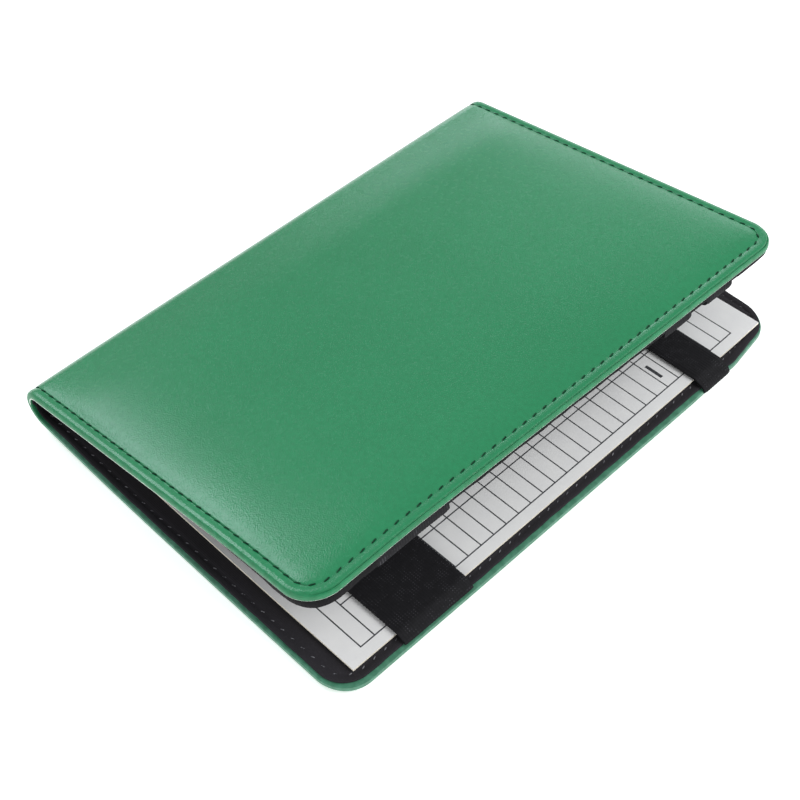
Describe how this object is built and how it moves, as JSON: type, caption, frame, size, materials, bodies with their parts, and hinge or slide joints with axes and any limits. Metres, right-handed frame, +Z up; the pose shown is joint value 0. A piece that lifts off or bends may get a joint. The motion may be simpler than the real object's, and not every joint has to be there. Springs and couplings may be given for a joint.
{
  "type": "bifold card holder",
  "caption": "Slim padded leatherette folio that folds like a notebook cover, with stitched edges and elastic straps inside that hold a printed, folded card.",
  "frame": {"origin": "centre of the bounding box, at the bottom, on the surface that the back cover lies on", "axes": "+X from the fold to the free edges, +Y along the fold, +Z up through the covers"},
  "size_m": [0.1215, 0.17, 0.0312],
  "materials": {
    "green_leather": "semi-gloss fine-grained leatherette",
    "foam": "open-cell foam sheet",
    "board": "grey bookbinding board",
    "black_lining": "matte fine woven lining",
    "black_elastic": "ribbed woven elastic",
    "green_thread": "polyester thread",
    "grey_thread": "polyester thread",
    "black_thread": "polyester thread",
    "card": "smooth printed card"
  },
  "bodies": {
    "back_cover": {"back_outer_leather": "green_leather", "back_foam_pad": "foam", "back_stiffener_board": "board", "back_lining": "black_lining", "back_wide_strap": "black_elastic", "back_narrow_strap": "black_elastic", "back_edge_stitching": "green_thread", "back_lining_stitching": "grey_thread", "back_strap_tacks": "black_thread"},
    "spine": {"spine_outer_leather": "green_leather", "spine_foam_strip": "foam", "spine_lining": "black_lining", "spine_edge_stitching": "green_thread", "spine_lining_stitching": "grey_thread"},
    "front_cover": {"front_outer_leather": "green_leather", "front_foam_pad": "foam", "front_stiffener_board": "board", "front_lining": "black_lining", "front_wide_strap": "black_elastic", "front_narrow_strap_inner": "black_elastic", "front_narrow_strap_outer": "black_elastic", "front_edge_stitching": "green_thread", "front_lining_stitching": "grey_thread", "front_strap_tacks": "black_thread"},
    "scorecard_body": {"scorecard": "card"}
  },
  "joints": [
    {"name": "spine_fold", "type": "hinge", "parent": "back_cover", "child": "spine", "pos_m": [-0.05956, 0, 0.00369], "axis": [0, -1, 0], "range_deg": [-4.6, 87.8]},
    {"name": "cover_fold", "type": "hinge", "parent": "spine", "child": "front_cover", "pos_m": [-0.05968, 0, 0.01269], "axis": [0, -1, 0], "range_deg": [-4.29, 83.5]},
    {"name": "card_slide", "type": "slide", "parent": "back_cover", "child": "scorecard_body", "axis": [0, 1, 0], "range_m": [-0.145, 0.15]}
  ],
  "couplings": [
    {"joint": "spine_fold", "follows": "cover_fold", "ratio": 1.05}
  ]
}
